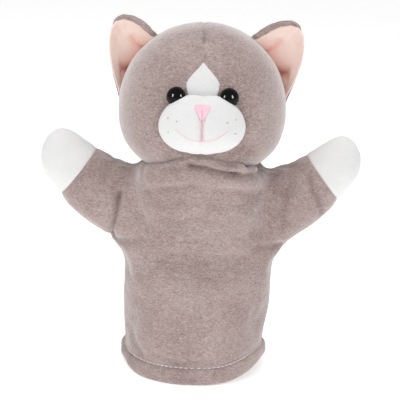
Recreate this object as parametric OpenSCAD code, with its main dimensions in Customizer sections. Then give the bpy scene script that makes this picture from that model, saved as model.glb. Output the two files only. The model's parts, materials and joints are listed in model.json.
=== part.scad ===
// Cat glove puppet: a plush head on a velour glove with two sleeves and white paws.
// The puppet faces -Y, its left side is +X, and it stands on the hem at Z = 0.

/* [Glove] */
// Half the width of the glove's tube at the hip
glove_half_width = 53; // [51:0.5:55]
// Half the depth of the glove's tube at the hip
glove_half_depth = 43; // [41:0.5:45]
// Height at which the stiff panels end and the soft neck begins
shoulder_height = 138; // [136:0.5:139]
// Thickness of the velour with its pile
cloth = 2; // [1.5:0.1:2.2]
// Height of the turned-up hem
hem_height = 12; // [10:0.5:14]
// How far the hem lifts off the table at the side seams
hem_corner_lift = 6; // [3:0.5:8]

/* [Arms] */
// Shoulder centre from the middle of the glove
shoulder_x = 49; // [48:0.5:50]
// Height of the shoulder centre
shoulder_z = 116; // [114:0.5:118]
// Angle of the raised arms above level
arm_angle = 38; // [34:1:40]
// Radius of the sleeve at the shoulder
sleeve_root_radius = 26; // [24:0.5:27]
// Radius of the sleeve at the seam with the paw
paw_seam_radius = 18.5; // [17:0.5:19]
// Distance along the arm from the shoulder to the paw seam
sleeve_length = 44; // [43:0.5:46]
// Distance along the arm from the shoulder to the tip of the paw
arm_length = 75; // [73:0.5:77]

/* [Head] */
// Half the width of the head across the cheeks
head_half_width = 57; // [55:0.5:58]
// Half the depth of the head
head_half_depth = 45; // [44:0.5:46]
// Height of the widest part of the cheeks
cheek_height = 189; // [188:0.5:190]
// Height of the crown above the cheeks
crown_rise = 57; // [55:0.5:58]
// Depth of the jaw below the cheeks
jaw_drop = 43; // [41:0.5:43]
// How far the muzzle stands out from the face
muzzle_bulge = 15; // [12:0.5:17]
// Width of each safety eye
eye_width = 12; // [10:0.5:12]
// Radius of the pocket in the head that holds a finger
finger_radius = 10.5; // [9.5:0.5:11]
// Length of the finger pocket
finger_length = 56; // [50:1:58]

/* [Hidden] */

velour_grey = "#b09a95";
velour_white = "#efeeec";
lining_pink = "#f4cfc4";
thread_pink = "#f2b6cd";
thread_grey = "#a8a2a2";
stuffing_white = "#f7f7f4";
eye_black = "#0c0b0c";
washer_white = "#dcdcda";

fit_gap = 0.3;          // clearance between sewn pieces whose faces follow each other
oval_power = 2.3;       // superellipse exponent of the glove's section
head_power = 2.2;       // superellipse exponent of the head's section
jaw_power = 2.6;        // exponent of the fuller jaw line
neck_top = 150.4;       // upper edge of the gathered neck
soft_from = 30;         // distance along the arm where the stiff sleeve starts
panel_columns = 22;     // columns of a half panel
crown_share = 0.02;     // the head panels stop just short of the crown
jaw_share = 0.3;        // share of the head's section left open under the jaw

// ---- Shapes shared by several sub-parts ----

function oval_power_of(c, power) = sign(c) * pow(abs(c), 2 / power);
// A point of a superellipse with half axes a and b, at angle t
function oval_point(a, b, z, t, power) =
    [a * oval_power_of(cos(t), power), b * oval_power_of(sin(t), power), z];
function ring(a, b, z, from, to, columns, power) =
    [for (i = [0:columns - 1]) oval_point(a, b, z, from + (to - from) * i / (columns - 1), power)];

function grid_faces(rows, columns, first, flip) = [
    for (i = [0:rows - 2]) for (j = [0:columns - 2])
        let (a = first + i * columns + j, b = a + 1, c = a + columns + 1, d = a + columns)
        each (flip ? [[a, b, c], [a, c, d]] : [[a, c, b], [a, d, c]])
];
function border(rows, columns) = concat(
    [for (j = [0:columns - 1]) j],
    [for (i = [1:rows - 1]) i * columns + columns - 1],
    [for (j = [columns - 2:-1:0]) (rows - 1) * columns + j],
    [for (i = [rows - 2:-1:1]) i * columns]
);

// A piece of cloth: two grids of points, front and back, joined round their border
module cloth_piece(front, back) {
    rows = len(front);
    columns = len(front[0]);
    count = rows * columns;
    edge = border(rows, columns);
    last = len(edge);
    polyhedron(
        points = concat([for (r = front) each r], [for (r = back) each r]),
        faces = concat(
            grid_faces(rows, columns, 0, true),
            grid_faces(rows, columns, count, false),
            [for (k = [0:last - 1]) let (a = edge[k], b = edge[(k + 1) % last]) each
                [[a, b + count, b], [a, a + count, b + count]]]
        )
    );
}

// A solid lofted through closed rings, with flat ends
module loft(rings) {
    rows = len(rings);
    columns = len(rings[0]);
    polyhedron(
        points = [for (r = rings) each r],
        faces = concat(
            [for (i = [0:rows - 2]) for (j = [0:columns - 1])
                let (a = i * columns + j, b = i * columns + (j + 1) % columns)
                let (c = b + columns, d = a + columns)
                each [[a, c, b], [a, d, c]]],
            [[for (j = [0:columns - 1]) j]],
            [[for (j = [columns - 1:-1:0]) (rows - 1) * columns + j]]
        )
    );
}

// A round thread of radius r through points, square to the -Y direction it is sewn on
module thread(path, r) {
    last = len(path) - 1;
    sides = 6;
    rings = [for (i = [0:last])
        let (
            ahead = path[min(i + 1, last)] - path[max(i - 1, 0)],
            along = ahead / norm(ahead),
            side = cross(along, [0, 1, 0]) / norm(cross(along, [0, 1, 0])),
            up = cross(side, along)
        )
        [for (k = [0:sides - 1]) path[i] + r * cos(-60 * k) * side + r * sin(-60 * k) * up]];
    loft(rings);
}

// ---- Glove ----

// Half width and half depth of the glove's outside at height z
function glove_width_at(z) = glove_half_width * lookup(z, [
    [0, 1.005], [12, 0.985], [30, 0.985], [70, 1.0], [95, 1.0], [115, 0.97], [130, 0.93],
    [138, 0.905], [142, 0.845], [146, 0.765], [151, 0.68]]);
function glove_depth_at(z) = glove_half_depth * lookup(z, [
    [0, 1.035], [12, 1.02], [40, 1.0], [70, 0.99], [95, 0.95], [115, 0.9], [130, 0.87],
    [138, 0.85], [142, 0.85], [146, 0.845], [151, 0.838]]);

function glove_ring(z, inset, from, to) =
    ring(glove_width_at(z) - inset, glove_depth_at(z) - inset, z, from, to, panel_columns, oval_power);

module glove_piece(heights, from) {
    cloth_piece(
        [for (z = heights) glove_ring(z, 0, from, from + 180)],
        [for (z = heights) glove_ring(z, cloth, from, from + 180)]
    );
}

panel_heights = [hem_height, 24, 40, 55, 70, 83, 95, 105, 115, 123, 130, shoulder_height];
neck_heights = [shoulder_height + fit_gap, 142, 146, 148.5, neck_top];

// The whole outside of the glove as one solid, for trimming what is sewn to it
module glove_outside() {
    loft([for (z = concat(panel_heights, neck_heights))
        [for (t = [0:180 / (panel_columns - 1):359])
            oval_point(glove_width_at(z) + fit_gap, glove_depth_at(z) + fit_gap, z, t, oval_power)]]);
}

module glove_panel(from) {
    color(velour_grey) difference() {
        glove_piece(panel_heights, from);
        for (side = [0, 1]) mirror([side, 0, 0]) at_shoulder() armhole();
    }
}

// The hole in the panels, as wide as the inside of the sleeve
module armhole() {
    reach = 40;
    near = sleeve_radius(-reach) - cloth;
    far = sleeve_radius(reach) - cloth;
    translate([0, 0, -reach]) cylinder(r1 = near, r2 = far, h = 2 * reach, $fn = 64);
}

// The hem lies flat on the table and lifts towards the side seams
function hem_lift(t) = hem_corner_lift * pow(max(0, abs(cos(t)) - 0.75) / 0.25, 2);
function hem_line(share, spread, from) = [for (i = [0:panel_columns - 1])
    let (
        t = from + 180 * i / (panel_columns - 1),
        low = hem_lift(t),
        z = low + (hem_height - fit_gap / 6 - low) * share,
        flare = 1.3 * pow(abs(cos(t)), 6) * (1 - share)
    )
    oval_point(glove_width_at(z) + spread + flare, glove_depth_at(z) + spread, z, t, oval_power)];

module hem(from) {
    shares = [0, 0.35, 0.7, 1];
    puff = [0.4, 1.0, 1.0, 0.2];
    color(velour_grey) cloth_piece(
        [for (i = [0:3]) hem_line(shares[i], puff[i], from)],
        [for (i = [0:3]) hem_line(shares[i], -1.6 * cloth, from)]
    );
}

module hem_stitching() {
    stitches = 64;
    color(thread_grey) for (i = [0:stitches - 1]) {
        t = 360 * (i + 0.5) / stitches;
        z = hem_height + 1.2;
        here = oval_point(glove_width_at(z) + 0.45, glove_depth_at(z) + 0.45, z, t, oval_power);
        next = oval_point(glove_width_at(z) + 0.45, glove_depth_at(z) + 0.45, z, t + 1, oval_power);
        translate(here) rotate([0, 0, atan2(next.y - here.y, next.x - here.x)])
            cube([2.6, 0.5, 0.5], center = true);
    }
}

// ---- Neck ----

module neck_piece(from) {
    color(velour_grey) glove_piece(neck_heights, from);
}

module neck_stitching() {
    stitches = 36;
    color(thread_grey) for (i = [0:stitches - 1]) {
        t = 360 * (i + 0.5) / stitches;
        z = 148.2;
        here = oval_point(glove_width_at(z) + 1.1, glove_depth_at(z) + 1.1, z, t, oval_power);
        translate(here) rotate([0, 0, t]) cube([0.6, 0.6, 2.2], center = true);
    }
}

// ---- Arms ----

// Radius of the sleeve at distance d along the arm
function sleeve_radius(d) = sleeve_root_radius + (paw_seam_radius - sleeve_root_radius) * d / sleeve_length;

// Puts the arm's axis, local +Z, at the left shoulder
module at_shoulder() {
    translate([shoulder_x, 0, shoulder_z]) rotate([0, 90 - arm_angle, 0]) children();
}

module sleeve_profile(from, to) {
    polygon([[sleeve_radius(from) - cloth, from], [sleeve_radius(from), from],
             [sleeve_radius(to), to], [sleeve_radius(to) - cloth, to]]);
}

module paw_outline(inset) {
    dome = paw_seam_radius - 1;
    centre = arm_length - dome;
    polygon([[0, sleeve_length], [paw_seam_radius - inset, sleeve_length],
             [dome - inset, centre], [0, centre]]);
    intersection() {
        translate([0, centre]) circle(r = dome - inset, $fn = 96);
        translate([0, centre]) square([dome, dome]);
    }
}

// Half of a round sleeve or paw: turn is 180 for the front half and 0 for the back half
module half_turn(turn) {
    rotate([0, 0, turn]) rotate_extrude(angle = 180, $fn = 96) children();
}

module shoulder_piece(turn) {
    color(velour_grey) difference() {
        at_shoulder() half_turn(turn) sleeve_profile(-20, soft_from - fit_gap);
        glove_outside();
    }
}

module sleeve_piece(turn) {
    color(velour_grey) at_shoulder() half_turn(turn) sleeve_profile(soft_from, sleeve_length);
}

module paw_piece(turn) {
    color(velour_white) at_shoulder() half_turn(turn) difference() {
        paw_outline(0);
        paw_outline(cloth);
    }
}

// ---- Head ----

// Share of the full section at latitude v, from -90 under the jaw to 90 at the crown
function head_share(v) = v >= 0
    ? max(crown_share, cos(v))
    : pow(1 - pow(abs(sin(v)), jaw_power), 1 / jaw_power);
function head_height(v, inset) = cheek_height
    + (v >= 0 ? (crown_rise - inset) : (jaw_drop - inset)) * sin(v);
function head_share_at(z) = z >= cheek_height
    ? sqrt(max(0, 1 - pow((z - cheek_height) / crown_rise, 2)))
    : pow(max(0, 1 - pow((cheek_height - z) / jaw_drop, jaw_power)), 1 / jaw_power);

// Half the depth of the head at the share s of height z: the jaw is round, to turn in the neck
function head_depth(z, s, inset) = s * lookup(z, [
    [150, head_half_width - inset],
    [154, 0.97 * (head_half_width - inset)],
    [160, 0.91 * (head_half_width - inset)],
    [170, head_half_depth + 2 - inset], [182, head_half_depth - inset]]);
// Y of the face at a place x, z
function face_y(x, z) =
    let (s = head_share_at(z))
    -head_depth(z, s, 0) * pow(max(0, 1 - pow(abs(x) / (head_half_width * s), head_power)), 1 / head_power);

// Latitudes of the head panels' rows: the first leaves the finger opening free
jaw_latitude = -asin(pow(1 - pow(jaw_share, jaw_power), 1 / jaw_power));
latitudes = [jaw_latitude, -68, -60, -52, -42, -32, -20, -8, 4, 15, 25, 35, 45, 55, 65, 75, 83, 90];
blaze_top = 226;
blaze_bottom = 203;
blaze_outline = [[blaze_bottom, 9], [208, 9.8], [212.5, 10.4], [216.5, 8.8], [220.5, 5.6], [blaze_top, 0.4]];
function blaze_half_width(z) = z > blaze_top || z < blaze_bottom
    ? 0
    : lookup(z, blaze_outline);

function head_row(v, inset, from, to, columns) =
    let (s = head_share(v))
    let (z = head_height(v, inset))
    ring((head_half_width - inset) * s, head_depth(z, s, inset), z, from, to, columns, head_power);

// One quarter of the head's skin
module head_quarter(from) {
    cloth_piece(
        [for (v = latitudes) head_row(v, 0, from, from + 90, 13)],
        [for (v = latitudes) head_row(v, cloth, from, from + 90, 13)]
    );
}

module blaze_prism(spread) {
    rotate([90, 0, 0]) linear_extrude(height = 60) polygon(concat(
        [for (p = blaze_outline) [p[1] + spread, p[0]]],
        [for (i = [len(blaze_outline) - 1:-1:0]) [-blaze_outline[i][1] - spread, blaze_outline[i][0]]]
    ));
}

module face_panel() {
    color(velour_grey) difference() {
        head_quarter(270);
        blaze_prism(fit_gap / 6);
        at_eye() cylinder(r = eye_post_radius + 0.1, h = 30, center = true, $fn = 32);
    }
}

module head_back_panel() {
    color(velour_grey) head_quarter(0);
}

module blaze() {
    columns = 7;
    rows = [blaze_bottom, 206, 209, 212.5, 216.5, 220.5, 225];
    color(velour_white) cloth_piece(
        [for (z = rows) [for (i = [0:columns - 1]) let (x = blaze_half_width(z) * (2 * i / (columns - 1) - 1))
            [x, face_y(x, z), z]]],
        [for (z = rows) [for (i = [0:columns - 1]) let (x = blaze_half_width(z) * (2 * i / (columns - 1) - 1))
            [x, face_y(x, z) + cloth, z]]]
    );
}

module head_stuffing() {
    inset = cloth + 0.4;
    rings = [for (v = [-78, -68, -60, -52, -42, -32, -20, -8, 4, 15, 25, 35, 45, 55, 65, 75, 83])
        let (s = head_share(v), z = head_height(v, inset))
        [for (t = [0:7.5:359])
            oval_point((head_half_width - inset) * s, head_depth(z, s, inset), z, t, head_power)]];
    color(stuffing_white) difference() {
        loft(rings);
        translate([0, 0, 120])
            cylinder(r = finger_radius + 1.7, h = pocket_mouth + finger_length + cloth - 119.8, $fn = 64);
        for (side = [0, 1]) mirror([side, 0, 0]) at_eye() {
            cylinder(r = eye_post_radius + 0.4, h = 2 * eye_post_length + 2, center = true, $fn = 32);
            translate([0, 0, -washer_depth - 1.8]) cylinder(r = washer_radius + 0.3, h = 3, $fn = 48);
        }
    }
}

pocket_mouth = 146.5;
module finger_pocket() {
    color(velour_grey) translate([0, 0, pocket_mouth]) difference() {
        cylinder(r = finger_radius + 1.5, h = finger_length + cloth, $fn = 64);
        translate([0, 0, -1]) cylinder(r = finger_radius, h = finger_length + 1, $fn = 64);
    }
}

// ---- Eyes ----

eye_x = 16.6;
eye_z = 204.5;
eye_post_radius = 1.6;
eye_post_length = 12;
eye_yaw = 11;           // the face turns away this much beside the nose
eye_pitch = 13;         // and leans back this much
washer_radius = 6;
washer_depth = cloth + 1.4;

// Puts local +Z along the face's outward direction at the left eye
module at_eye() {
    translate([eye_x, face_y(eye_x, eye_z), eye_z]) rotate([90 - eye_pitch, 0, eye_yaw]) children();
}

module eye() {
    color(eye_black) at_eye() {
        translate([0, 0, 0.6]) intersection() {
            translate([0, 0, -1.5]) sphere(r = eye_width / 2 + 0.2, $fn = 96);
            cylinder(r = eye_width / 2, h = 10, $fn = 96);
        }
        translate([0, 0, -eye_post_length]) cylinder(r = eye_post_radius, h = eye_post_length + 1.5, $fn = 32);
    }
}

module eye_washer() {
    color(washer_white) at_eye() translate([0, 0, -washer_depth - 1.2]) difference() {
        cylinder(r = washer_radius, h = 1.4, $fn = 48);
        translate([0, 0, -1]) cylinder(r = eye_post_radius + 0.05, h = 4, $fn = 32);
    }
}

// ---- Muzzle ----

muzzle_z = 186;
// Distance from the middle of the muzzle to its seam, against the angle above level
function muzzle_reach(a) = lookup(a, [
    [-90, 16.5], [-60, 18.2], [-36, 22.9], [-23, 25.5], [-10, 27.1], [1, 27.3],
    [15, 26.4], [33, 24.7], [62, 22.1], [90, 19.8]]);
function muzzle_share(x, z) =
    let (r = norm([x, z - muzzle_z]))
    r < 0.01 ? 0 : r / muzzle_reach(atan2(z - muzzle_z, abs(x)));
function muzzle_rise(share) = muzzle_bulge * pow(max(0, 1 - pow(min(1, share), 2.6)), 0.5);
// Y of the outside of the muzzle at a place x, z
function muzzle_y(x, z) = face_y(x, z) - fit_gap - cloth - muzzle_rise(muzzle_share(x, z));

muzzle_shares = [0.12, 0.35, 0.55, 0.72, 0.85, 0.94, 0.985, 1];
muzzle_columns = 36;
function muzzle_ring(share, forward, inner) = [for (j = [0:muzzle_columns - 1])
    let (
        a = 360 * j / muzzle_columns,
        turn = a > 180 ? a - 360 : a,
        reach = muzzle_reach(abs(turn) > 90 ? sign(turn) * (180 - abs(turn)) : turn) * share,
        x = reach * cos(a),
        z = muzzle_z + reach * sin(a)
    )
    [x, face_y(x, z) - fit_gap - forward - inner * muzzle_rise(share), z]];

// Room that the muzzle leaves for both eyes
module eye_room() {
    for (side = [0, 1]) mirror([side, 0, 0]) at_eye() translate([0, 0, -eye_post_length])
        cylinder(r = eye_width / 2 + fit_gap, h = eye_post_length + muzzle_bulge, $fn = 48);
}

module muzzle_cover() {
    color(velour_white) difference() {
        loft(concat(
            [for (s = muzzle_shares) muzzle_ring(s, cloth, 1)],
            [for (i = [len(muzzle_shares) - 1:-1:0]) muzzle_ring(muzzle_shares[i] * 0.985, 0.1, 1)]
        ));
        eye_room();
        whisker_knots(0.1, 4);
    }
}

module muzzle_stuffing() {
    color(stuffing_white) difference() {
        loft(concat(
            [for (s = muzzle_shares) muzzle_ring(s * 0.93, 0, 0.93)],
            [for (i = [len(muzzle_shares) - 1:-1:0]) muzzle_ring(muzzle_shares[i] * 0.93, 0, 0)]
        ));
        eye_room();
    }
}

// ---- Embroidery on the muzzle ----

nose_top = 202;
nose_height = 9.6;
nose_half_width = 5.3;
// A rounded triangle, wide at the top
function nose_width_at(share) = nose_half_width
    * lookup(share, [[0, 0.82], [0.12, 1], [0.4, 0.84], [0.75, 0.45], [1, 0.12]]);

module nose_embroidery() {
    columns = 7;
    shares = [0, 0.06, 0.12, 0.26, 0.4, 0.58, 0.75, 0.9, 1];
    function nose_grid(forward) = [for (s = shares) [for (i = [0:columns - 1])
        let (x = nose_width_at(s) * (2 * i / (columns - 1) - 1), z = nose_top - nose_height * s)
        [x, muzzle_y(x, z) - forward, z]]];
    color(thread_pink) cloth_piece(nose_grid(1.0), nose_grid(0.2));
}

mouth_z = 180.2;
smile_half_width = 16;
smile_rise = 6.5;
function smile_z(share) = mouth_z + smile_rise * pow(abs(share), 2.2);
module mouth_embroidery() {
    radius = 0.5;
    forward = radius + 0.15;
    line_top = nose_top - nose_height - 1;
    line_bottom = mouth_z + 1.2;
    color(thread_pink) {
        thread([for (i = [0:8]) let (z = line_top + (line_bottom - line_top) * i / 8)
            [0, muzzle_y(0, z) - forward, z]], radius);
        thread([for (i = [-10:10]) let (x = smile_half_width * i / 10, z = smile_z(i / 10))
            [x, muzzle_y(x, z) - forward, z]], radius);
    }
}

whisker_places = [[15.6, 190.5], [21.2, 192.5], [20.8, 184]];
// The knots, made larger by gap and as tall as height
module whisker_knots(gap, height) {
    for (side = [-1, 1]) for (p = whisker_places)
        translate([side * p[0], muzzle_y(p[0], p[1]) - 0.2 + gap, p[1]]) rotate([90, 0, 0])
            cylinder(r = 0.8 + gap, h = height, $fn = 24);
}
module whisker_dots() {
    color(thread_grey) whisker_knots(0, 0.6);
}

// ---- Ears ----

ear_base_from = 54;     // latitude of the ear's inner end on the side of the head
ear_base_to = 7;        // latitude of its outer end
ear_cup = 9;            // how deep the ear is hollowed
// The free edge of the left ear, from its inner end over the tip to its outer end
ear_edge = [[35, 238.5], [37.5, 242.5], [42, 246.5], [48, 249.3], [54.5, 250], [60, 247.5],
            [63.6, 241], [65, 232], [64.8, 223], [63.2, 213], [60.8, 204], [58.8, 198]];
ear_columns = len(ear_edge);
function ear_base(i) =
    let (v = ear_base_from + (ear_base_to - ear_base_from) * i / (ear_columns - 1))
    [(head_half_width + 1.2) * cos(v), cheek_height + (crown_rise + 1.2) * sin(v)];
// Cupped surface: i along the edge, s from the base to the free edge
function ear_point(i, s, back) =
    let (
        b = ear_base(i),
        p = b + (ear_edge[i] - b) * s,
        along = i / (ear_columns - 1),
        hollow = ear_cup * sin(180 * along) * pow(1 - s, 1.3) + 4 * sin(180 * along) * s * (1 - s)
    )
    [p.x, 1 + hollow + back, p.y];
function ear_grid(back) = [for (s = [0:0.125:1]) [for (i = [0:ear_columns - 1]) ear_point(i, s, back)]];

module ear_back() {
    color(velour_grey) cloth_piece(ear_grid(0.05), ear_grid(0.05 + cloth));
}

module ear_lining() {
    color(lining_pink) cloth_piece(ear_grid(-0.9 * cloth), ear_grid(0));
}

// ---- Sub-parts by name ----

module right() { mirror([1, 0, 0]) children(); }

glove_panel(180);  // front_panel
glove_panel(0);  // back_panel
hem(180);  // front_hem
hem(0);  // back_hem
hem_stitching();
neck_piece(180);  // neck_front
neck_piece(0);  // neck_back
neck_stitching();
shoulder_piece(180);  // left_shoulder_front
shoulder_piece(0);  // left_shoulder_back
right() shoulder_piece(180);  // right_shoulder_front
right() shoulder_piece(0);  // right_shoulder_back
sleeve_piece(180);  // left_sleeve_front
sleeve_piece(0);  // left_sleeve_back
right() sleeve_piece(180);  // right_sleeve_front
right() sleeve_piece(0);  // right_sleeve_back
paw_piece(180);  // left_paw_front
paw_piece(0);  // left_paw_back
right() paw_piece(180);  // right_paw_front
right() paw_piece(0);  // right_paw_back
face_panel();  // left_face
right() face_panel();  // right_face
head_back_panel();  // left_head_back
right() head_back_panel();  // right_head_back
blaze();
muzzle_cover();
muzzle_stuffing();
head_stuffing();
finger_pocket();
ear_back();  // left_ear_back
ear_lining();  // left_ear_lining
right() ear_back();  // right_ear_back
right() ear_lining();  // right_ear_lining
eye();  // left_eye
right() eye();  // right_eye
eye_washer();  // left_eye_washer
right() eye_washer();  // right_eye_washer
nose_embroidery();
mouth_embroidery();
whisker_dots();
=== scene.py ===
# %% [markdown]
# # A plush cat glove puppet
# The real puppet is a velour glove sewn from a front and a back, with two sleeves that end in white paws,
# a stuffed head with a finger pocket, and a turned-up hem on which it can stand. The solid model already fixes
# where every piece is and how it turns, so this lesson only makes the cloth, the eyes and the stitching that
# one sees, each exactly where its solid stands.

# %% Open the frame
import json
import math
from contextlib import contextmanager
import bpy
import numpy as np
from mathutils import Matrix, Vector


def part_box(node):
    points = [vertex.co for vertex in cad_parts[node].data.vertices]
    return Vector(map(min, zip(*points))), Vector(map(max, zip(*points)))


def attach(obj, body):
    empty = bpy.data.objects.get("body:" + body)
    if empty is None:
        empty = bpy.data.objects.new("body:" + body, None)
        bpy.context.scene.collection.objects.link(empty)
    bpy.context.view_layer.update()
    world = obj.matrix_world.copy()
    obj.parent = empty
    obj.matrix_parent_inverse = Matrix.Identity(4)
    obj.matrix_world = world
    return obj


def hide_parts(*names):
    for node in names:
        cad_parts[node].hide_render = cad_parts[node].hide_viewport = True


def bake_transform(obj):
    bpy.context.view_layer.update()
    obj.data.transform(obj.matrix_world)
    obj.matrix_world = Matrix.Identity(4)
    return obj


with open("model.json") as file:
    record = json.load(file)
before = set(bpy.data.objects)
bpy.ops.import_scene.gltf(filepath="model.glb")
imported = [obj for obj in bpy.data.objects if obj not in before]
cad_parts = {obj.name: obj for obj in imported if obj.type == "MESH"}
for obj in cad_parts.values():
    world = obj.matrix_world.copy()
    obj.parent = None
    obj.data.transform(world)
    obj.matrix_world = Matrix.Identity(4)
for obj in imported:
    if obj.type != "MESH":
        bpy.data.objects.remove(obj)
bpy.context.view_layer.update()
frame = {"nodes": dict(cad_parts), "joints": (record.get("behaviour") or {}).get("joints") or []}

# %% [markdown]
# All lengths below are in millimetres, because a puppet maker thinks in them. Blender's own unit is the metre,
# so points are divided by a thousand when they are put into a mesh. The joints tell where the arm's axis runs:
# it passes through the two hinges of the arm.

# %% Read the main sizes from the frame
def box(node):
    low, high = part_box(node)
    return np.array(low) * 1000, np.array(high) * 1000


joint_at = {j["name"]: np.array(j["pos_m"]) * 1000 for j in frame["joints"]}
lift_at, clap_at = joint_at["left_arm_lift"], joint_at["left_arm_clap"]
arm_axis = (clap_at - lift_at) / np.linalg.norm(clap_at - lift_at)
arm_up = np.array([-arm_axis[2], 0, arm_axis[0]])
head_half_width = box("left_face")[1][0]
head_half_depth = box("left_head_back")[1][1]
crown = box("left_face")[1][2]
glove_half_width = box("front_panel")[1][0]
glove_half_depth = -box("front_panel")[0][1]
hem_top = box("front_panel")[0][2]
sides = ((1, "left"), (-1, "right"))  # the puppet's own left is on +X
print("arm axis", arm_axis.round(3))
print("head", head_half_width.round(1), head_half_depth.round(1), crown.round(1))

# %% [markdown]
# A few helpers keep the steps short. `pick` makes one object the active one, `finish_with` adds a modifier and
# applies it, and `points` and `move_to` read and move a mesh's points by a rule, which is how a soft form is
# pushed into place here instead of by a sculpting brush. `weigh` makes a vertex group that limits a modifier,
# and `mark` stores a number at each point for a finish to read. The mesh tools work inside `editing`, which
# selects all of a piece.

# %% Helpers for picking and shaping
def pick(*things):
    if bpy.context.object and bpy.context.object.mode != "OBJECT":
        bpy.ops.object.mode_set(mode="OBJECT")
    bpy.ops.object.select_all(action="DESELECT")
    for thing in things:
        thing.select_set(True)
    bpy.context.view_layer.objects.active = things[0]


def finish_with(thing, kind, **settings):
    pick(thing)
    modifier = thing.modifiers.new(kind.title(), kind)
    for key, value in settings.items():
        setattr(modifier, key, value)
    bpy.ops.object.modifier_apply(modifier=modifier.name)


def read(parts, what, kind=float, width=3):
    """The numbers a mesh keeps for its points, corners or faces."""
    flat = np.empty(len(parts) * width, kind)
    parts.foreach_get(what, flat)
    return flat.reshape(-1, 3) if width == 3 else flat


def subdivide(thing):
    finish_with(thing, "SUBSURF", levels=1, render_levels=1)


def points(thing):
    return read(thing.data.vertices, "co") * 1000


def normals(thing):
    return read(thing.data.vertex_normals, "vector")


def columns(*parts):
    return np.stack(parts, axis=1)


def move_to(thing, places):
    thing.data.vertices.foreach_set("co", (np.asarray(places) / 1000).ravel())
    thing.data.update()


def named(name):
    thing = bpy.context.object
    thing.name = thing.data.name = name
    return thing


@contextmanager
def editing(thing):
    pick(thing)
    bpy.ops.object.mode_set(mode="EDIT")
    bpy.ops.mesh.select_all(action="SELECT")
    yield
    bpy.ops.object.mode_set(mode="OBJECT")


def outward(thing):
    with editing(thing):
        bpy.ops.mesh.remove_doubles(threshold=1e-6)
        bpy.ops.mesh.normals_make_consistent(inside=False)


def facing_forward(thing):
    """Orients an open piece so that its faces look out of the puppet's front."""
    outward(thing)
    if normals(thing)[:, 1].mean() > 0:
        with editing(thing):
            bpy.ops.mesh.flip_normals()


def smooth(thing):
    pick(thing)
    bpy.ops.object.shade_smooth()


def weigh(thing, name, weights, least=0.05):
    group = thing.vertex_groups.new(name=name)
    for index in np.nonzero(weights > least)[0]:
        group.add([int(index)], float(weights[index]), "REPLACE")


def mark(thing, name, values):
    layer = thing.data.attributes.new(name, "FLOAT", "POINT")
    layer.data.foreach_set("value", values.astype(np.float32))


# %% [markdown]
# Soft folds are valleys pressed along a line. `valley` measures how near each point is to a line of places and
# gives 1 in the middle of the fold and 0 away from it, and `ripple` is a slow, soft unevenness, because no sewn
# cloth is perfectly smooth. Both give the same result each run.

# %% Helpers for folds and unevenness
def near_line(places, line):
    line = np.asarray(line, float)
    best = np.full(len(places), 1e9)
    for a, b in zip(line[:-1], line[1:]):
        along = b - a
        share = np.clip(((places - a) @ along) / max(along @ along, 1e-9), 0, 1)
        best = np.minimum(best, np.linalg.norm(places - a - share[:, None] * along, axis=1))
    return best


def bell(*offsets):
    """1 in the middle and almost 0 where an offset is 2 or more."""
    return np.exp(-sum(offset**2 for offset in offsets))


def valley(places, line, width):
    return bell(near_line(places, line) / width)


def ripple(places, size, seed):
    random = np.random.default_rng(seed)
    total = np.zeros(len(places))
    for k in range(6):
        way = random.normal(size=3)
        way /= np.linalg.norm(way)
        length = size * random.uniform(0.7, 1.4)
        total += np.sin(places @ way * (2 * math.pi / length) + random.uniform(0, 6.28))
    return total / 6


def step(low, high, value):
    share = np.clip((value - low) / (high - low), 0, 1)
    return share * share * (3 - 2 * share)


def read_off(table, value, column=1):
    """What a table, sorted by its first column, says in another column at a value between its rows."""
    table = np.array(table)
    return np.interp(value, table[:, 0], table[:, column])


def oval(angle, half_width, half_depth, power):
    c, s = np.cos(angle), np.sin(angle)
    x = half_width * np.sign(c) * np.abs(c) ** (2 / power)
    return x, half_depth * np.sign(s) * np.abs(s) ** (2 / power)


# %% [markdown]
# ## Camera, floor and light
# A toy like this is photographed on white, a little from above, in very soft light. The floor is a wide pale
# sheet that is only there to catch the shadow, and the lights are large panels.

# %% Camera
look_at = Vector((0, 0, 0.1224))
camera_height = math.radians(18)
camera_distance = 0.62
camera_roll = math.radians(1.5)
back = Vector((0, -math.cos(camera_height), math.sin(camera_height)))
bpy.ops.object.camera_add(location=look_at + camera_distance * back)
camera = named("camera")
way = (look_at - camera.location).to_track_quat("-Z", "Y")
camera.rotation_euler = (way.to_matrix() @ Matrix.Rotation(camera_roll, 3, "Z")).to_euler()
camera.data.lens = 79.4
camera.data.clip_start = 0.01
bpy.context.scene.camera = camera

# %% Floor
bpy.ops.mesh.primitive_plane_add(size=16)
floor = named("floor")


# %% Soft panels of light
def light_panel(name, place, aim, width, power):
    bpy.ops.object.light_add(type="AREA", location=place)
    panel = named(name)
    panel.data.shape = "RECTANGLE"
    panel.data.size = width
    panel.data.size_y = width * 0.8
    panel.data.energy = power
    panel.rotation_euler = (Vector(aim) - Vector(place)).to_track_quat("-Z", "Y").to_euler()
    return panel


middle = (0, 0, 0.13)
soft = [light_panel("left_panel", (-0.75, -0.75, 0.75), middle, 0.5, 2.2),
        light_panel("right_panel", (0.75, -0.75, 0.75), middle, 0.5, 1.55),
        light_panel("top_panel", (0, 0.1, 1.2), middle, 1.2, 6.4)]
for panel in soft:
    panel.visible_glossy = False
for name, side in (("left_window", -1), ("right_window", 1)):
    window = light_panel(name, (side * 0.5, -0.56, 0.46), (0, -0.05, 0.2), 0.18, 9.0)
    window.data.size_y = 0.32
    window.visible_diffuse = False
world = bpy.data.worlds.new("studio")
bpy.context.scene.world = world
world.use_nodes = True
world.node_tree.nodes["Background"].inputs["Color"].default_value = (1, 1, 1, 1)
world.node_tree.nodes["Background"].inputs["Strength"].default_value = 0.46
bpy.context.scene.view_settings.view_transform = "Standard"

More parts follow.
